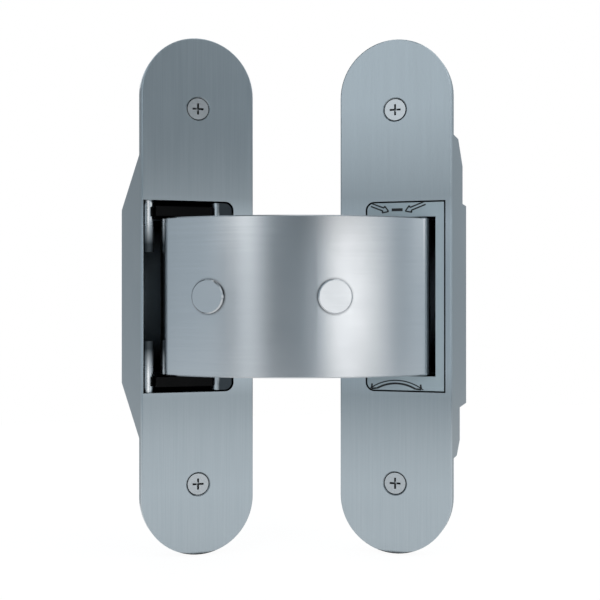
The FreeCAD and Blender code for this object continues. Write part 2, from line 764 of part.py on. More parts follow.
def arm():
    knuckle = size("knuckle_radius").number
    span, thick = reach.number, size("arm_thickness").number
    rise, leg, shoulder = arm_rise.number, size("arm_leg").number, size("arm_shoulder").number
    outer_crown, outer_side = arch_outline(span + knuckle, rise, leg, shoulder)
    inner_side = arch_outline(span - knuckle, rise - thick, leg, shoulder - thick)[1]
    cast = body("arm_cast")
    outline = sketch(cast, "arch", "XY_Plane")
    edges = arch_edges(outer_side, rise)
    for hand in (-1, 1):
        edges.append(Part.Arc(FreeCAD.Vector(hand * (span + knuckle), 0, 0),
                              FreeCAD.Vector(hand * span, knuckle, 0),
                              FreeCAD.Vector(hand * (span - knuckle), 0, 0)))
    edges += arch_edges(inner_side, rise - thick)
    outline.addGeometry(edges, False)
    feature(cast, "Pad", "arch_solid", outline, size("arm_half_height") * 2, both_ways=True)

    # Ears at the top and bottom of each knuckle carry the cam pins
    for hand, name in ((-1, "left"), (1, "right")):
        ear = sketch(cast, name + "_ear_outline", "XY_Plane")
        slot(ear, (reach * hand, ZERO), ((reach - cam_along) * hand, size("cam_behind")), size("ear_radius"))
        feature(cast, "Pad", name + "_ears", ear, size("arm_half_height") * 2, both_ways=True)
        waist = sketch(cast, name + "_waist_outline", "XY_Plane")
        inner_x = (reach - size("knuckle_radius")) * hand
        end_x = (reach - cam_along - size("ear_radius") - size("ear_clearance")) * hand
        edges = sorted([inner_x, end_x], key=lambda s: s.number)
        rectangle(waist, edges[0], edges[1], -size("ear_radius"), size("ear_radius") * 2)
        waist_height = (size("arm_half_height") - size("ear_thickness")) * 2
        feature(cast, "Pocket", name + "_waist", waist, waist_height, both_ways=True)
    bores = sketch(cast, "bore_outline", "XY_Plane")
    for hand in (-1, 1):
        circle(bores, reach * hand, ZERO, size("pin_radius") + size("pin_running_gap"))
        circle(bores, (reach - cam_along) * hand, size("cam_behind"), size("cam_pin_radius"))
    drilled = feature(cast, "Pocket", "bores", bores, size("arm_half_height") * 2, both_ways=True)

    # The long edges of the outer face are broken
    outer_face = Part.Wire([edge.toShape() for edge in arch_edges(outer_side, rise)])
    top = size("arm_half_height").number

    def on_outer_face(edge):
        middle = edge.valueAt((edge.FirstParameter + edge.LastParameter) / 2)
        spot = Part.Vertex(middle.x, middle.y, 0)
        return (lies_at(edge, "z", top) or lies_at(edge, "z", -top)) and outer_face.distToShape(spot)[0] < 1e-3

    cast.Tip = bevel_edges(cast, "arm_rims", drilled, size("arm_edge_bevel"), on_outer_face)
    doc.recompute()

    # Two flat seats in the crown take the round caps
    current = cast
    for name, across in (("left", -size("left_cap_across")), ("right", size("right_cap_across"))):
        seat_tool = cylinder("cap_seat_" + name, size("cap_radius") + size("cap_gap"), size("arm_thickness") * 2)
        seat_tool.Placement = cap_place(across.number, outer_crown, rise)
        current = cut("arm_with_%s_seat" % name, current, seat_tool)
    doc.recompute()
    finish("arm", current, arm_place)
    for name, across in (("left", -size("left_cap_across")), ("right", size("right_cap_across"))):
        cap(name, across.number, outer_crown, rise)


def cap_place(across, crown, rise):
    """The seat of a cap: its floor lies below the crown arc, and Z points out of the arm."""
    lean = math.asin(across / crown)
    outwards = FreeCAD.Vector(math.sin(lean), -math.cos(lean), 0)
    on_arc = FreeCAD.Vector(0, crown - rise, 0) + outwards * crown
    floor = on_arc - outwards * size("cap_seat").number
    return FreeCAD.Placement(floor, FreeCAD.Rotation(Z_AXIS, outwards))


def cap(name, across, crown, rise):
    disc = cylinder("cap_disc_" + name, size("cap_radius"), size("cap_seat") + size("cap_proud"))
    doc.recompute()
    top = (size("cap_seat") + size("cap_proud")).number
    broken = doc.addObject("Part::Chamfer", "cap_rim_" + name)
    broken.Base = disc
    width = size("cap_edge_bevel").number
    broken.Edges = [(i + 1, width, width) for i, e in enumerate(disc.Shape.Edges) if lies_at(e, "z", top)]
    doc.recompute()
    broken.Placement = cap_place(across, crown, rise)
    finish("arm_cap_" + name, broken, arm_place)


# Pins, rollers and washers of each end of the arm

def slide_pin(leaf, hand):
    """A stepped pin through the knuckle, with a journal at each end for the rollers."""
    end_half = guide_outer_height - size("end_gap")
    barrel = cylinder(leaf.name + "_pin_barrel", size("pin_radius"), size("arm_half_height") * 2,
                      -size("arm_half_height"))
    ends = cylinder(leaf.name + "_pin_ends", size("pin_end_radius"), end_half * 2, -end_half)
    made = fuse(leaf.name + "_slide_pin_solid", barrel, ends)
    doc.recompute()
    made.Placement = FreeCAD.Placement(X_AXIS * hand * reach.number, FreeCAD.Rotation())
    finish(leaf.name + "_slide_pin", made, arm_place)


def roller(leaf, hand, level, side):
    """A hard plastic roller on the journal, inside the straight track."""
    low = guide_inner_height + size("roller_gap")
    high = guide_outer_height - size("end_gap")
    name = "%s_roller_%s" % (leaf.name, level)
    ring = cut(name + "_ring", cylinder(name + "_outside", size("roller_radius"), high - low),
               cylinder(name + "_inside", size("pin_end_radius") + size("roller_gap"), high - low))
    doc.recompute()
    base = low.number if side > 0 else -high.number
    ring.Placement = FreeCAD.Placement(FreeCAD.Vector(hand * reach.number, 0, base), FreeCAD.Rotation())
    finish(name, ring, arm_place)


def washers(leaf, hand):
    """A thin thrust washer between the knuckle and each guide plate."""
    name = leaf.name + "_washer"
    ring = cut(name + "_ring", cylinder(name + "_outside", size("washer_radius"), size("washer_thickness")),
               cylinder(name + "_inside", size("pin_end_radius") + size("roller_gap"), size("washer_thickness")))
    doc.recompute()
    thick = size("washer_thickness")
    low = (size("arm_half_height") + guide_inner_height - thick) / 2
    spots = [FreeCAD.Placement(FreeCAD.Vector(hand * reach.number, 0, z.number), FreeCAD.Rotation())
             for z in (low, -low - thick)]
    made = copies(name + "s_set", ring, spots)
    finish(leaf.name + "_washers", made, arm_place)


def cam_pins(leaf, hand):
    """A pin pressed into each ear, which runs in the curved track."""
    root = size("arm_half_height") - size("ear_thickness")
    high = guide_outer_height - size("end_gap")
    rod = cylinder(leaf.name + "_cam_pin", size("cam_pin_radius"), high - root)
    doc.recompute()
    across = hand * (reach - cam_along).number
    behind = size("cam_behind").number
    spots = [FreeCAD.Placement(FreeCAD.Vector(across, behind, z), FreeCAD.Rotation())
             for z in (root.number, -high.number)]
    made = copies(leaf.name + "_cam_pins_set", rod, spots)
    finish(leaf.name + "_cam_pins", made, arm_place)


# The block that fills the inner side of the jamb body's mouth

def bearing_block():
    cast = body("block_cast")
    gap = size("insert_gap")
    face = front_sketch(cast, "block_outline", size("block_back"))
    beside = size("block_from_middle")
    half_round_box(face, beside, left.cutout_inner - gap,
                   cutout_half_height - gap, size("cutout_corner") - gap)
    block = feature(cast, "Pad", "block", face, size("block_back") - size("block_front"))
    front = (size("block_front") - seat).number
    cast.Tip = round_edges(cast, "arm_side", block, size("block_edge_round"),
                           lambda e: lies_at(e, "y", front) and lies_at(e, "x", beside.number))
    doc.recompute()
    finish("left_bearing_block", cast, PLACES["left"])


# The insert that closes the door body's mouth, with the slot that the arm comes through

def insert():
    cast = body("insert_cast")
    gap = size("insert_gap")
    back = size("insert_front") + size("insert_thickness")
    face = front_sketch(cast, "insert_outline", back)
    half_round_box(face, right.cutout_outer - gap, gap - right.cutout_inner,
                   cutout_half_height - gap, size("cutout_corner") - gap)
    feature(cast, "Pad", "insert", face, size("insert_thickness"))
    opening = front_sketch(cast, "slot_outline", size("insert_front"))
    half_height = size("arm_half_height") + size("insert_slot_clearance")
    outer = right.opened[0] + size("knuckle_radius") + size("insert_slot_side")
    inner = right.cutout_inner - size("insert_slot_margin")
    rectangle(opening, -inner, outer, -half_height, half_height)
    feature(cast, "Pocket", "arm_slot", opening, size("insert_thickness"))
    doc.recompute()
    finish("right_insert", cast, PLACES["right"])


for leaf, hand in ((left, -1), (right, 1)):
    cover_plate(leaf)
    cover_screws(leaf)
    housing(leaf)
    guide_plate(leaf, "upper", 1)
    guide_plate(leaf, "lower", -1)
    guide_screws(leaf)
    slide_pin(leaf, hand)
    roller(leaf, hand, "upper", 1)
    roller(leaf, hand, "lower", -1)
    washers(leaf, hand)
    cam_pins(leaf, hand)
arm()
bearing_block()
insert()
doc.recompute()

for thing in doc.Objects:
    for flag in ("Invalid", "Error"):
        if flag in thing.State:
            raise RuntimeError("%s is %s" % (thing.Label, flag))
for node, thing in nodes.items():
    if thing.Shape.isNull() or not thing.Shape.isValid() or not thing.Shape.Solids:
        raise RuntimeError("%s has no sound shape" % node)

os.makedirs("parts", exist_ok=True)
for node, thing in nodes.items():
    thing.Shape.exportStep("parts/%s.step" % node)
    print("%-26s %2d solids %10.1f mm3" % (node, len(thing.Shape.Solids), thing.Shape.Volume))
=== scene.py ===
import bpy
import math
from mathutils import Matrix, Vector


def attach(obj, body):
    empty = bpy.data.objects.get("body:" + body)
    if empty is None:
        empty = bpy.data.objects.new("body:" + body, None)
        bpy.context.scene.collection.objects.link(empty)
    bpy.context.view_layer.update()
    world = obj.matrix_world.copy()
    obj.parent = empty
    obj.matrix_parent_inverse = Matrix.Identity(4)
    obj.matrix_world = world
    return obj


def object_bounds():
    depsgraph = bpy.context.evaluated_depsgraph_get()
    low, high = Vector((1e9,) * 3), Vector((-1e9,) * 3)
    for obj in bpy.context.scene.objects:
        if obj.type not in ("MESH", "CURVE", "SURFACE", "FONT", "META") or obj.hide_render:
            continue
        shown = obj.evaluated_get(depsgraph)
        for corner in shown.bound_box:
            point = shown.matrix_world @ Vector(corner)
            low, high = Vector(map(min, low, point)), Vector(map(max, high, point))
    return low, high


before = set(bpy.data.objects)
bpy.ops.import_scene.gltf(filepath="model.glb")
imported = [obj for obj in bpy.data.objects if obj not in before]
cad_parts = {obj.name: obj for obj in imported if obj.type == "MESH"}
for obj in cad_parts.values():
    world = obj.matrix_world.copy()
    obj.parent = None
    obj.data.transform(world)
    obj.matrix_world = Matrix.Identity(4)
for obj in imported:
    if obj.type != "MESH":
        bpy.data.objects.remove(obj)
cad_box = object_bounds()

# The camera stands level with the middle of the hinge and looks square at the arm. The arm's two slide
# pins stand 64.8 mm apart on a line turned 17 degrees from the jamb body's plate. The shift puts the
# hinge where it stands in the picture.
arm_turn = math.radians(-17.0)
into_arm = (-math.sin(arm_turn), math.cos(arm_turn))
pin_middle = (0.02654, -0.00406)
focal_pixels = 1050.0
picture_pixels = 600
hinge_right, hinge_up = 4.5, -3.5
camera_distance = 0.2807
camera_place = [pin_middle[i] - into_arm[i] * camera_distance for i in (0, 1)] + [0.0]
bpy.ops.object.camera_add(location=camera_place, rotation=(math.radians(90), 0, arm_turn))
camera = bpy.context.object
camera.name = "photo_camera"
camera.data.sensor_width = 36.0
camera.data.lens = camera.data.sensor_width * focal_pixels / picture_pixels
camera.data.shift_x = hinge_right / picture_pixels
camera.data.shift_y = hinge_up / picture_pixels
camera.data.clip_start = 0.01
bpy.context.scene.camera = camera
bpy.context.scene.view_settings.view_transform = "Standard"


# The two housings: zinc die castings, each with its flange, the box behind it and the screw bosses in
# one piece. They are tumbled after casting and chromed matt, and screwed into the jamb and the door.
def linear(code):
    """The linear colour of a hex code such as #B4BDC2."""
    shares = [int(code[i:i + 2], 16) / 255 for i in (1, 3, 5)]
    return [s / 12.92 if s <= 0.04045 else ((s + 0.055) / 1.055) ** 2.4 for s in shares] + [1.0]


def add(tree, kind, settings={}, links={}):
    """A node of that kind in the tree, with its options and sockets set, and its inputs linked."""
    node = tree.nodes.new(kind)
    for key, value in settings.items():
        if isinstance(key, int) or key in node.inputs:
            node.inputs[key].default_value = value
        else:
            setattr(node, key, value)
    for key, source in links.items():
        tree.links.new(source, node.inputs[key])
    return node


def cover(surface, *names):
    """Give the CAD nodes this material in place of their own."""
    for name in names:
        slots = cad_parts[name].data.materials
        slots.clear()
        slots.append(surface)


def millimetres(width):
    """The scale at which a noise pattern has features that wide."""
    return 1000 / width


def new_finish(name):
    """A material, its empty node tree, and the places on the piece that its patterns are laid out in."""
    surface = bpy.data.materials.new(name)
    surface.use_nodes = True
    tree = surface.node_tree
    tree.nodes.clear()
    return surface, tree, add(tree, "ShaderNodeTexCoord").outputs["Object"]


# Zinc die casting, matt chromed: cool grey, soft reflections and a faint orange skin from the tool. The
# hollow and inner corners are painted near black as shade. The two half round ribs in the jamb body's
# mouth get a painted highlight and a smoother surface towards their outer ends, and painted shade inwards.
cast_zinc, tree, place = new_finish("matt chromed zinc die casting")
skin = add(tree, "ShaderNodeTexNoise", {"Scale": millimetres(0.7), "Detail": 3.0},
           {"Vector": place}).outputs["Fac"]
cloud = add(tree, "ShaderNodeTexNoise", {"Scale": millimetres(14), "Detail": 4.0},
            {"Vector": place}).outputs["Fac"]
# Painted shade: where the occlusion is high, in the hollow and the corners, the colour goes near black
corner = add(tree, "ShaderNodeAmbientOcclusion", {"samples": 16, "Distance": 0.02}).outputs["AO"]
unshaded = add(tree, "ShaderNodeMapRange", {"From Min": 0.4, "From Max": 0.65}, {"Value": corner}).outputs[0]
flat_place = add(tree, "ShaderNodeMapping", {"Scale": (1.0, 1.0, 0.0)}, {"Vector": place}).outputs[0]
rib_axis = (-0.01275, -0.001, 0.0)
rib_skin = (0.0018, 0.0019)  # from the axis: the rib's surface lies inside these
rib_fade = (0.0135, 0.02)  # from mid height: the shine comes in between these
away = add(tree, "ShaderNodeVectorMath", {"operation": "DISTANCE", 1: rib_axis},
           {0: flat_place}).outputs["Value"]
on_rib = add(tree, "ShaderNodeMapRange", {"From Min": rib_skin[1], "From Max": rib_skin[0]},
             {"Value": away}).outputs[0]
up = add(tree, "ShaderNodeSeparateXYZ", {}, {"Vector": place}).outputs["Z"]
either_way = add(tree, "ShaderNodeMath", {"operation": "ABSOLUTE"}, {0: up}).outputs[0]
bright = add(tree, "ShaderNodeMapRange", {"From Min": rib_fade[0], "From Max": rib_fade[1]},
             {"Value": either_way, "To Max": on_rib}).outputs[0]
# Painted shade: towards mid height the ribs are darkened
rib_unshaded = add(tree, "ShaderNodeMapRange", {"To Min": 0.25}, {"Value": bright}).outputs[0]
unshaded_share = add(tree, "ShaderNodeMix", {"data_type": "FLOAT"},
            {"Factor": on_rib, 2: unshaded, 3: rib_unshaded}).outputs[0]
tone = add(tree, "ShaderNodeMix", {"data_type": "RGBA", 6: linear("#8E999F"), 7: linear("#A7B1B7")},
           {"Factor": cloud})
painted_shade = add(tree, "ShaderNodeMix", {"data_type": "RGBA", 6: linear("#020203")},
            {"Factor": unshaded_share, 7: tone.outputs[2]})
rough = add(tree, "ShaderNodeMapRange", {"To Min": 0.36, "To Max": 0.52}, {"Value": cloud}).outputs[0]
# Painted highlight: towards their outer ends the ribs are lightened to a near white
painted_rib_highlight = add(tree, "ShaderNodeMix", {"data_type": "RGBA", 7: linear("#E6E9EB")},
            {"Factor": bright, 6: painted_shade.outputs[2]})
polish = add(tree, "ShaderNodeMix", {"data_type": "FLOAT", 3: 0.2}, {"Factor": bright, 2: rough}).outputs[0]
smooth = add(tree, "ShaderNodeMapRange", {"To Min": 0.3, "To Max": 0.03}, {"Value": bright}).outputs[0]
bump = add(tree, "ShaderNodeBump", {"Distance": 0.00005}, {"Height": skin, "Strength": smooth}).outputs[0]
metal = add(tree, "ShaderNodeBsdfPrincipled", {"Metallic": 1.0},
            {"Base Color": painted_rib_highlight.outputs[2], "Roughness": polish, "Normal": bump})
add(tree, "ShaderNodeOutputMaterial", {}, {"Surface": metal.outputs[0]})
cover(cast_zinc, "left_housing", "right_housing")

# The four guide plates above and below the arm: 2.5 mm steel, blanked and blackened. The rollers run
# in their straight tracks and the cam pins in their curved ones, so they carry a film of grease.
# Blackened steel: nearly black, with little shine, and mottled.
black_steel, tree, place = new_finish("blackened and oiled steel")
mottle = add(tree, "ShaderNodeTexNoise", {"Scale": millimetres(2.5), "Detail": 5.0},
             {"Vector": place}).outputs["Fac"]
tone = add(tree, "ShaderNodeMix", {"data_type": "RGBA", 6: linear("#010102"), 7: linear("#060607")},
           {"Factor": mottle})
rough = add(tree, "ShaderNodeMapRange", {"To Min": 0.35, "To Max": 0.6}, {"Value": mottle}).outputs[0]
bump = add(tree, "ShaderNodeBump", {"Strength": 0.1, "Distance": 0.00003}, {"Height": mottle}).outputs[0]
metal = add(tree, "ShaderNodeBsdfPrincipled", {"Specular IOR Level": 0.12},
            {"Base Color": tone.outputs[2], "Roughness": rough, "Normal": bump})
add(tree, "ShaderNodeOutputMaterial", {}, {"Surface": metal.outputs[0]})
cover(black_steel, "left_guide_plate_upper", "left_guide_plate_lower", "right_guide_plate_upper",
      "right_guide_plate_lower")

# The eight small countersunk screws that hold the guide plates from inside, and the four thrust
# washers. Zinc plate is a guess for both, and the washers may be nylon.
# Zinc plate: bright with a slight blue, and a little cloudy.
zinc_plate, tree, place = new_finish("bright zinc plated steel")
cloud = add(tree, "ShaderNodeTexNoise", {"Scale": millimetres(1.2), "Detail": 3.0},
            {"Vector": place}).outputs["Fac"]
tone = add(tree, "ShaderNodeMix", {"data_type": "RGBA", 6: linear("#A9B1B8"), 7: linear("#C6CCD0")},
           {"Factor": cloud})
rough = add(tree, "ShaderNodeMapRange", {"To Min": 0.22, "To Max": 0.38}, {"Value": cloud}).outputs[0]
metal = add(tree, "ShaderNodeBsdfPrincipled", {"Metallic": 1.0},
            {"Base Color": tone.outputs[2], "Roughness": rough})
add(tree, "ShaderNodeOutputMaterial", {}, {"Surface": metal.outputs[0]})
cover(zinc_plate, "left_guide_screws", "right_guide_screws", "left_washers", "right_washers")

# The slide pins through the arm's knuckles and the cam pins pressed into its ears: hardened steel,
# ground round and polished.
# Ground steel: bright and neutral, with fine rings round each pin.
ground_steel, tree, place = new_finish("ground hardened steel")
flat = add(tree, "ShaderNodeMapping", {"Scale": (0.02, 0.02, 1.0)}, {"Vector": place}).outputs[0]
rings = add(tree, "ShaderNodeTexNoise", {"Scale": millimetres(0.3), "Detail": 2.0},
            {"Vector": flat}).outputs["Fac"]
tone = add(tree, "ShaderNodeMix", {"data_type": "RGBA", 6: linear("#B9BCBE"), 7: linear("#D2D4D5")},
           {"Factor": rings})
bump = add(tree, "ShaderNodeBump", {"Strength": 0.1, "Distance": 0.00002}, {"Height": rings}).outputs[0]
metal = add(tree, "ShaderNodeBsdfPrincipled", {"Metallic": 1.0, "Roughness": 0.2},
            {"Base Color": tone.outputs[2], "Normal": bump})
add(tree, "ShaderNodeOutputMaterial", {}, {"Surface": metal.outputs[0]})
cover(ground_steel, "left_slide_pin", "right_slide_pin", "left_cam_pins", "right_cam_pins")

# The four rollers on the ends of the slide pins: black plastic, as if turned from rod. The photo
# doesn't show them, so acetal is a guess, and they may be nylon.
# Acetal: a dense black plastic with a waxy gloss.
acetal, tree, place = new_finish("black acetal")
wax = add(tree, "ShaderNodeTexNoise", {"Scale": millimetres(0.6), "Detail": 2.0},
          {"Vector": place}).outputs["Fac"]
tone = add(tree, "ShaderNodeMix", {"data_type": "RGBA", 6: linear("#101112"), 7: linear("#1C1E20")},
           {"Factor": wax})
rough = add(tree, "ShaderNodeMapRange", {"To Min": 0.3, "To Max": 0.42}, {"Value": wax}).outputs[0]
plastic = add(tree, "ShaderNodeBsdfPrincipled", {"IOR": 1.48},
              {"Base Color": tone.outputs[2], "Roughness": rough})
add(tree, "ShaderNodeOutputMaterial", {}, {"Surface": plastic.outputs[0]})
cover(acetal, "left_roller_upper", "left_roller_lower", "right_roller_upper", "right_roller_lower")

# The arm and its two caps: one wide arched zinc casting, linished round the arch and satin chromed.
# The round caps sit in flat seats in its crown. What they close isn't known.
# Satin chrome: a silvery grey that mirrors the room softly, with hair lines round the arch.
satin_chrome, tree, place = new_finish("satin chromed zinc")
round_arch = add(tree, "ShaderNodeMapping", {"Scale": (0.02, 0.02, 1.0)}, {"Vector": place}).outputs[0]
hair = add(tree, "ShaderNodeTexNoise", {"Scale": millimetres(0.45), "Detail": 3.0},
           {"Vector": round_arch}).outputs["Fac"]
cloud = add(tree, "ShaderNodeTexNoise", {"Scale": millimetres(9), "Detail": 3.0},
            {"Vector": place}).outputs["Fac"]
# Painted shade: narrow gaps and corners, such as round the caps, are darkened
corner = add(tree, "ShaderNodeAmbientOcclusion", {"samples": 8, "Distance": 0.0012}).outputs["AO"]
unshaded = add(tree, "ShaderNodeMapRange", {"From Min": 0.3, "From Max": 0.85}, {"Value": corner}).outputs[0]
tone = add(tree, "ShaderNodeMix", {"data_type": "RGBA", 6: linear("#CDD0D3"), 7: linear("#D5D8DB")},
           {"Factor": hair})
painted_shade = add(tree, "ShaderNodeMix", {"data_type": "RGBA", 6: linear("#23282B")},
            {"Factor": unshaded, 7: tone.outputs[2]})
rough = add(tree, "ShaderNodeMapRange", {"To Min": 0.17, "To Max": 0.24}, {"Value": cloud}).outputs[0]
bump = add(tree, "ShaderNodeBump", {"Strength": 0.05, "Distance": 0.00002}, {"Height": hair}).outputs[0]
metal = add(tree, "ShaderNodeBsdfPrincipled", {"Metallic": 1.0},
            {"Base Color": painted_shade.outputs[2], "Roughness": rough, "Normal": bump})
add(tree, "ShaderNodeOutputMaterial", {}, {"Surface": metal.outputs[0]})
cover(satin_chrome, "arm", "arm_cap_left", "arm_cap_right")

# The block that fills the jamb body's mouth beside the arm: a dark plated casting with a bright rounded
# edge towards the arm. The photo doesn't show how it is held, and at rest it touches no other piece.
# From 80.5 to 85 degrees of the arm's turn the arm cuts up to 0.16 mm into it.
# Dark nickel: a smoky grey, with a painted highlight along the rounded edge.
dark_nickel, tree, place = new_finish("dark nickel plated zinc")
highlight_edge = (0.0054, 0.0061)
edge_raggedness = 0.0006
across = add(tree, "ShaderNodeSeparateXYZ", {}, {"Vector": place}).outputs["X"]
cloud = add(tree, "ShaderNodeTexNoise", {"Scale": millimetres(1.5), "Detail": 4.0},
            {"Vector": place}).outputs["Fac"]
ragged = add(tree, "ShaderNodeMath", {"operation": "MULTIPLY_ADD", 1: edge_raggedness},
             {0: cloud, 2: across}).outputs[0]
# Painted highlight: the rounded edge towards the arm is pale, the rest smoky grey
plated = add(tree, "ShaderNodeMapRange", {"From Min": highlight_edge[0], "From Max": highlight_edge[1]},
             {"Value": ragged}).outputs[0]
tone = add(tree, "ShaderNodeMix", {"data_type": "RGBA", 6: linear("#C3CCD2"), 7: linear("#3C4348")},
           {"Factor": plated})
rough = add(tree, "ShaderNodeMapRange", {"To Min": 0.28, "To Max": 0.4}, {"Value": cloud}).outputs[0]
metal = add(tree, "ShaderNodeBsdfPrincipled", {"Metallic": 1.0},
            {"Base Color": tone.outputs[2], "Roughness": rough})
add(tree, "ShaderNodeOutputMaterial", {}, {"Surface": metal.outputs[0]})
cover(dark_nickel, "left_bearing_block")

# The insert that closes the door body's mouth round the arm's slot: a flat piece that touches the guide
# plates. The photo shows that it is matt, but not what it is made of.
# Matt silver lacquer: an even cool grey without a grain, with painted shade along its seams.
silver_lacquer, tree, place = new_finish("matt silver lacquer")
skin = add(tree, "ShaderNodeTexNoise", {"Scale": millimetres(0.5), "Detail": 3.0},
           {"Vector": place}).outputs["Fac"]
cloud = add(tree, "ShaderNodeTexNoise", {"Scale": millimetres(6), "Detail": 3.0},
            {"Vector": place}).outputs["Fac"]
# Painted shade: the seams and corners round the insert are darkened
corner = add(tree, "ShaderNodeAmbientOcclusion", {"samples": 8, "Distance": 0.0008}).outputs["AO"]
unshaded = add(tree, "ShaderNodeMapRange", {"From Min": 0.4, "From Max": 0.8}, {"Value": corner}).outputs[0]
tone = add(tree, "ShaderNodeMix", {"data_type": "RGBA", 6: linear("#AFBEC5"), 7: linear("#BBC9CF")},
           {"Factor": cloud})
painted_shade = add(tree, "ShaderNodeMix", {"data_type": "RGBA", 6: linear("#14181A")},
            {"Factor": unshaded, 7: tone.outputs[2]})
rough = add(tree, "ShaderNodeMapRange", {"To Min": 0.45, "To Max": 0.55}, {"Value": cloud}).outputs[0]
bump = add(tree, "ShaderNodeBump", {"Strength": 0.2, "Distance": 0.00003}, {"Height": skin}).outputs[0]
lacquer = add(tree, "ShaderNodeBsdfPrincipled", {"Metallic": 0.5},
              {"Base Color": painted_shade.outputs[2], "Roughness": rough, "Normal": bump})
add(tree, "ShaderNodeOutputMaterial", {}, {"Surface": lacquer.outputs[0]})
cover(silver_lacquer, "right_insert")

# The cover plates: stamped, brushed along the hinge and satin chromed, and screwed on last.
# Brushed satin chrome: cool grey, streaked up and down, so its reflections spread sideways. The streaks
# are 0.35 mm wide, because the real ones are too fine to show. The countersinks are darkened with
# painted shade. A slightly darker zone above and below the mouth is painted shade, where the arm shades
# the plates. A slightly darker zone above and below the mouth is painted in: the photo shows it, but not
# whether it is soil or only the arm's shade.
brushed_chrome, tree, place = new_finish("brushed satin chrome")
long = add(tree, "ShaderNodeMapping", {"Scale": (1.0, 1.0, 0.015)}, {"Vector": place}).outputs[0]
streaks = add(tree, "ShaderNodeTexNoise", {"Scale": millimetres(0.35), "Detail": 3.0},
              {"Vector": long}).outputs["Fac"]
# Painted shade: the countersinks and other narrow corners are darkened
corner = add(tree, "ShaderNodeAmbientOcclusion", {"samples": 8, "Distance": 0.0012}).outputs["AO"]
unshaded = add(tree, "ShaderNodeMapRange", {"From Min": 0.8, "From Max": 0.98}, {"Value": corner}).outputs[0]
tone = add(tree, "ShaderNodeMix", {"data_type": "RGBA", 6: linear("#B4C0C7"), 7: linear("#C6D0D6")},
           {"Factor": streaks})
up = add(tree, "ShaderNodeSeparateXYZ", {}, {"Vector": place}).outputs["Z"]
either_way = add(tree, "ShaderNodeMath", {"operation": "ABSOLUTE"}, {0: up}).outputs[0]
# Painted shade: the plates are darker from 19 to 50 mm above and below the middle, most at 26 mm
zone_heights = (0.019, 0.026, 0.05)
zone_levels = (1.0, 0.77, 1.0)
height = add(tree, "ShaderNodeMapRange", {"From Max": zone_heights[-1]}, {"Value": either_way}).outputs[0]
zone = add(tree, "ShaderNodeValToRGB", {}, {"Fac": height})
zone.color_ramp.elements.new(0.5)
for stop, spot, level in zip(zone.color_ramp.elements, zone_heights, zone_levels):
    stop.position = spot / zone_heights[-1]
    stop.color = (level, level, level, 1.0)
shaded = add(tree, "ShaderNodeMix", {"data_type": "RGBA", "blend_type": "MULTIPLY", 0: 1.0},
             {6: tone.outputs[2], 7: zone.outputs[0]})
painted_shade = add(tree, "ShaderNodeMix", {"data_type": "RGBA", 6: linear("#0B0D0F")},
            {"Factor": unshaded, 7: shaded.outputs[2]})
rough = add(tree, "ShaderNodeMapRange", {"To Min": 0.26, "To Max": 0.36}, {"Value": streaks}).outputs[0]
bump = add(tree, "ShaderNodeBump", {"Strength": 0.12, "Distance": 0.00003}, {"Height": streaks}).outputs[0]
upright = add(tree, "ShaderNodeCombineXYZ", {"Z": 1.0}).outputs[0]
metal = add(tree, "ShaderNodeBsdfPrincipled",
            {"Metallic": 1.0, "Anisotropic": 0.94, "Anisotropic Rotation": 0.25},
            {"Base Color": painted_shade.outputs[2], "Roughness": rough, "Normal": bump, "Tangent": upright})
add(tree, "ShaderNodeOutputMaterial", {}, {"Surface": metal.outputs[0]})
cover(brushed_chrome, "left_cover_plate", "right_cover_plate")

# The four screws of the cover plates: small cross recessed countersunk screws, driven into the
# housings' bosses. Nickel plate is a guess from the photo, and the record calls it bright zinc.
# Nickel: a bright cool grey, a little cloudy, with painted shade in the recess.
nickel, tree, place = new_finish("nickel plated screw steel")
cloud = add(tree, "ShaderNodeTexNoise", {"Scale": millimetres(0.5), "Detail": 3.0},
            {"Vector": place}).outputs["Fac"]
# Painted shade: the cross recess and tight corners are darkened
corner = add(tree, "ShaderNodeAmbientOcclusion", {"samples": 8, "Distance": 0.0008}).outputs["AO"]
unshaded = add(tree, "ShaderNodeMapRange", {"From Min": 0.45, "From Max": 0.8}, {"Value": corner}).outputs[0]
tone = add(tree, "ShaderNodeMix", {"data_type": "RGBA", 6: linear("#B3BABF"), 7: linear("#CDD2D5")},
           {"Factor": cloud})
painted_shade = add(tree, "ShaderNodeMix", {"data_type": "RGBA", 6: linear("#101315")},
            {"Factor": unshaded, 7: tone.outputs[2]})
rough = add(tree, "ShaderNodeMapRange", {"To Min": 0.26, "To Max": 0.4}, {"Value": cloud}).outputs[0]
metal = add(tree, "ShaderNodeBsdfPrincipled", {"Metallic": 1.0},
            {"Base Color": painted_shade.outputs[2], "Roughness": rough})
add(tree, "ShaderNodeOutputMaterial", {}, {"Surface": metal.outputs[0]})
cover(nickel, "left_cover_screws", "right_cover_screws")

# The marks on the insert: two arrows and a bar above the arm's slot, and a double arc with an arrow
# at each end below it. They are painted on, stand 0.02 mm proud of the face, and seem to show the
# ways in which the door body is adjusted.
# Marking paint: a flat black, thin and slightly uneven.
black_paint, tree, place = new_finish("black marking paint")
patch = add(tree, "ShaderNodeTexNoise", {"Scale": millimetres(0.4), "Detail": 3.0},
            {"Vector": place}).outputs["Fac"]
tone = add(tree, "ShaderNodeMix", {"data_type": "RGBA", 6: linear("#0B0E10"), 7: linear("#252C30")},
           {"Factor": patch})
paint = add(tree, "ShaderNodeBsdfPrincipled", {"Roughness": 0.6}, {"Base Color": tone.outputs[2]})
add(tree, "ShaderNodeOutputMaterial", {}, {"Surface": paint.outputs[0]})

door_turn = math.radians(-34.0)
door_seat = (0.0517853, -0.0146538, 0.0)
insert_face = -0.0044
paint_depth = 0.00004
marks = []


def keep_mark(name):
    """Keep the flat shape just made as one of the marks, in the marking paint."""
    mark = bpy.context.object
    mark.name = name
    mark.data.materials.append(black_paint)
    marks.append(mark)


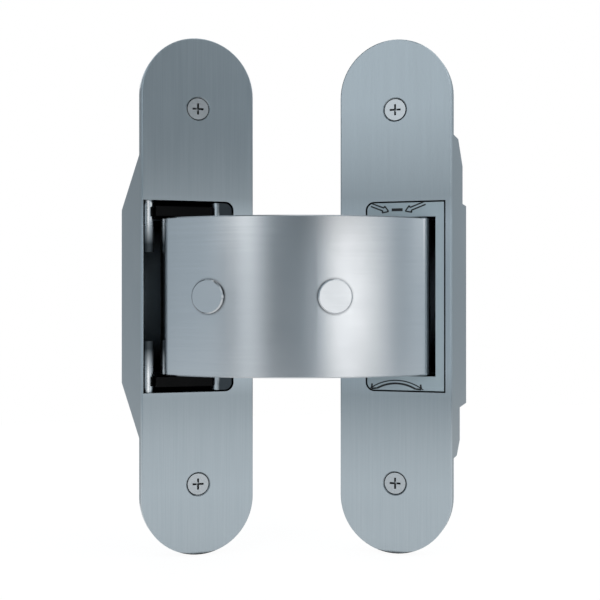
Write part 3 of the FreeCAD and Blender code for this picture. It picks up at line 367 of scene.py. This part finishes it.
def flat_bar(name, start, stop, width):
    """A straight stroke between two places on the face, in millimetres across and up."""
    length = math.dist(start, stop)
    lean = math.atan2(stop[1] - start[1], stop[0] - start[0])
    bpy.ops.object.select_all(action="DESELECT")
    bpy.ops.mesh.primitive_plane_add(size=0.001, location=(0, 0, 0))
    bpy.ops.object.mode_set(mode="EDIT")
    bpy.ops.mesh.select_all(action="SELECT")
    bpy.ops.transform.resize(value=(length, width, 1), center_override=(0, 0, 0))
    bpy.ops.mesh.subdivide(number_cuts=1)
    bpy.ops.object.mode_set(mode="OBJECT")
    stroke = bpy.context.object
    stroke.rotation_euler = (math.radians(90), 0, 0)
    bpy.ops.object.transform_apply(location=True, rotation=True, scale=True)
    stroke.rotation_euler = (0, -lean, 0)
    stroke.location = ((start[0] + stop[0]) / 2000, 0, (start[1] + stop[1]) / 2000)
    bpy.ops.object.transform_apply(location=True, rotation=True, scale=True)
    keep_mark(name)


arrow_stroke = 0.36
arrow_length = 1.5
shaft_half_width = 0.4
head_half_width = 0.95
flat_bar("minus_bar", (-0.9, 22.6), (2.0, 22.6), 0.75)
for name, tail, tip in (("left", (-6.3, 24.0), (-1.7, 22.2)), ("right", (7.9, 24.2), (2.7, 22.2))):
    run = (tip[0] - tail[0], tip[1] - tail[1])
    length = math.hypot(*run)
    way = (run[0] / length, run[1] / length)
    side = (-way[1], way[0])
    neck = (tip[0] - way[0] * arrow_length, tip[1] - way[1] * arrow_length)
    for hand in (1, -1):
        shift = (side[0] * shaft_half_width * hand, side[1] * shaft_half_width * hand)
        flat_bar("%s_arrow_line" % name, (tail[0] + shift[0], tail[1] + shift[1]),
                 (neck[0] + shift[0], neck[1] + shift[1]), arrow_stroke)
        barb = (neck[0] + side[0] * head_half_width * hand, neck[1] + side[1] * head_half_width * hand)
        flat_bar("%s_arrow_head" % name, barb, tip, arrow_stroke)
        flat_bar("%s_arrow_barb" % name, barb, (neck[0] + shift[0], neck[1] + shift[1]), arrow_stroke)

# The lower arcs are parts of rings about centres further down, cut off level with their arrows' tips
arc_foot = -24.15
arc_across = 0.3
arc_reach = 6.6
for name, centre_up, radius, width in (("inner_arc", -32.85, 9.95, 0.5), ("outer_arc", -33.75, 11.75, 0.3)):
    bpy.ops.object.select_all(action="DESELECT")
    bpy.ops.mesh.primitive_circle_add(vertices=160, radius=radius / 1000, fill_type="NOTHING",
                                      location=(0, 0, 0))
    bpy.ops.object.mode_set(mode="EDIT")
    bpy.ops.mesh.select_all(action="SELECT")
    bpy.ops.mesh.extrude_edges_move()
    bpy.ops.transform.resize(value=[1 + width / radius] * 2 + [1], center_override=(0, 0, 0))
    bpy.ops.mesh.select_all(action="SELECT")
    level = (arc_foot - centre_up) / 1000
    bpy.ops.mesh.bisect(plane_co=(0, level, 0), plane_no=(0, 1, 0), clear_inner=True)
    bpy.ops.object.mode_set(mode="OBJECT")
    arc = bpy.context.object
    arc.rotation_euler = (math.radians(90), 0, 0)
    arc.location = (arc_across / 1000, 0, centre_up / 1000)
    bpy.ops.object.transform_apply(location=True, rotation=True, scale=True)
    keep_mark(name)
for hand in (1, -1):
    tip = (arc_across + arc_reach * hand, -24.1)
    end = "right" if hand > 0 else "left"
    flat_bar("arc_arrow_" + end, (tip[0] - 0.2 * hand, tip[1] + 1.3), tip, 0.45)
    flat_bar("arc_barb_" + end, (tip[0] - 1.3 * hand, tip[1] + 0.1), tip, 0.45)

bpy.ops.object.select_all(action="DESELECT")
for mark in marks:
    mark.select_set(True)
bpy.context.view_layer.objects.active = marks[0]
bpy.ops.object.join()
insert_marks = bpy.context.object
insert_marks.name = "insert_marks"
fill = insert_marks.modifiers.new("paint", "SOLIDIFY")
fill.thickness = paint_depth
fill.offset = 0
bpy.ops.object.modifier_apply(modifier="paint")
insert_marks.location = (0, insert_face, 0)
bpy.ops.object.transform_apply(location=True, rotation=True, scale=True)
insert_marks.rotation_euler = (0, 0, door_turn)
insert_marks.location = door_seat
bpy.ops.object.transform_apply(location=True, rotation=True, scale=True)
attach(insert_marks, "right_body")

# The studio: a white paper floor just under the hinge, a white wall behind it, and round the front a
# dim room with a few lights and black flags in it. The three rows below are what stands level with the
# hinge, above it and under it, from behind on the left round to behind on the right: degrees from the
# camera, and brightness.
brightest = 2.0
level_row = [(-180, 1.0), (-150, 0.8), (-138, 0.2),  # white wall behind, then a flag at its edge
             (-90, 0.4), (-60, 0.5), (-42, 0.5), (-34, 0.3),  # dim room
             (-24, 0.9), (-12, 0.2), (4, 0.35),  # a narrow strip light, and a flag beside the camera
             (12, 0.7), (20, 1.7), (26, 1.9), (36, 1.4),  # the main soft box
             (54, 0.4), (68, 0.6), (90, 0.5),  # dim room
             (137, 0.2), (150, 0.8), (180, 1.0)]
upper_row = [(-180, 1.0), (-150, 0.8), (-138, 0.0),  # white wall, flag
             (-90, 0.4), (-46, 0.5), (-26, 1.8), (-16, 0.6),  # a soft box high on the left
             (5, 0.0), (28, 0.0),  # a black flag over the camera
             (45, 0.6), (62, 0.5), (86, 2.0), (110, 0.3),  # dim room, and a small lamp high on the right
             (137, 0.4), (150, 0.8), (180, 1.0)]
lower_row = [(-180, 1.0), (-150, 0.8), (-138, 0.7),  # white wall
             (-60, 0.8), (-20, 0.8),  # a pale table
             (5, 0.2), (35, 0.2),  # its black edge under the camera
             (50, 0.6), (90, 0.5), (137, 0.1), (150, 0.8), (180, 1.0)]
world = bpy.data.worlds.new("studio")
bpy.context.scene.world = world
world.use_nodes = True
sky = world.node_tree
sky.nodes.clear()
direction = add(sky, "ShaderNodeTexCoord").outputs["Generated"]
turned = add(sky, "ShaderNodeVectorRotate", {"rotation_type": "Z_AXIS", "Angle": -arm_turn},
             {"Vector": direction})
parts = add(sky, "ShaderNodeSeparateXYZ", {}, {"Vector": turned.outputs[0]})
forwards = add(sky, "ShaderNodeMath", {"operation": "MULTIPLY", 1: -1.0},
               {0: parts.outputs["Y"]}).outputs[0]
angle = add(sky, "ShaderNodeMath", {"operation": "ARCTAN2"},
            {0: parts.outputs["X"], 1: forwards}).outputs[0]
share = add(sky, "ShaderNodeMapRange", {"From Min": -math.pi, "From Max": math.pi},
            {"Value": angle}).outputs[0]

# Dim places are a little blue, because the photo's dim metal is bluer than its bright metal
dim_tint = (-0.16, -0.02, 0.08)
rows = []
for stops in (lower_row, level_row, upper_row):
    row = add(sky, "ShaderNodeValToRGB", {}, {"Fac": share})
    elements = row.color_ramp.elements
    while len(elements) < len(stops):
        elements.new(0.5)
    for element, stop in zip(elements, stops):
        element.position = (stop[0] + 180) / 360
    for element, (_, level) in zip(elements, stops):
        cool = min(1.0, max(0.0, (1.2 - level) / 0.7))
        element.color = [level / brightest * (1 + t * cool) for t in dim_tint] + [1.0]
    rows.append(row.outputs["Color"])

# Each row gives way to the next between two heights, as the sine of the elevation
room = rows[0]
for low, high, over in ((-0.115, -0.07, rows[1]), (0.07, 0.10, rows[2])):
    step = add(sky, "ShaderNodeMapRange",
               {"interpolation_type": "SMOOTHSTEP", "From Min": low, "From Max": high},
               {"Value": parts.outputs["Z"]})
    mixed = add(sky, "ShaderNodeMix", {"data_type": "RGBA"}, {"Factor": step.outputs[0], 6: room, 7: over})
    room = mixed.outputs[2]
seen = add(sky, "ShaderNodeLightPath").outputs["Is Camera Ray"]
white = [1 / brightest] * 3 + [1.0]
backdrop = add(sky, "ShaderNodeMix", {"data_type": "RGBA", 7: white}, {"Factor": seen, 6: room})
glow = add(sky, "ShaderNodeBackground", {"Strength": brightest}, {"Color": backdrop.outputs[2]})
add(sky, "ShaderNodeOutputWorld", {}, {"Surface": glow.outputs[0]})

bpy.ops.object.select_all(action="DESELECT")
floor_width = 0.6
floor_gap = 0.0003
floor_place = (pin_middle[0], pin_middle[1], cad_box[0][2] - floor_gap)
bpy.ops.mesh.primitive_plane_add(size=floor_width, location=floor_place)
floor = bpy.context.object
floor.name = "studio_floor"
paper_glow = 1.08
seen_share = 0.88
mirrored_share = 0.5
paper = bpy.data.materials.new("white background paper")
paper.use_nodes = True
tree = paper.node_tree
tree.nodes.clear()
matt = add(tree, "ShaderNodeBsdfDiffuse", {"Color": linear("#F2F2F2")})
lit = add(tree, "ShaderNodeEmission", {"Color": (1, 1, 1, 1), "Strength": paper_glow})
path = add(tree, "ShaderNodeLightPath").outputs
mirrored = add(tree, "ShaderNodeMath", {"operation": "MULTIPLY", 1: mirrored_share},
               {0: path["Is Glossy Ray"]}).outputs[0]
mostly = add(tree, "ShaderNodeMath", {"operation": "MULTIPLY_ADD", 1: seen_share},
             {0: path["Is Camera Ray"], 2: mirrored}).outputs[0]
mixed = add(tree, "ShaderNodeMixShader", {}, {"Fac": mostly, 1: matt.outputs[0], 2: lit.outputs[0]})
add(tree, "ShaderNodeOutputMaterial", {}, {"Surface": mixed.outputs[0]})
floor.data.materials.append(paper)

# Two large soft lamps, one high in front on the right and a weaker one on the left
for name, spot, size, power in (("lamp_right", (0.45, -0.75, 0.55), 0.5, 0.2),
                                ("lamp_left", (-0.65, -0.45, 0.6), 0.6, 0.1)):
    bpy.ops.object.light_add(type="AREA", location=spot)
    lamp = bpy.context.object
    lamp.name = name
    lamp.data.size = size
    lamp.data.energy = power
    away = [spot[0] - pin_middle[0], spot[1] - pin_middle[1], spot[2]]
    tilt = math.atan2(math.hypot(away[0], away[1]), away[2])
    lamp.rotation_euler = (tilt, 0, math.atan2(away[1], away[0]) + math.pi / 2)
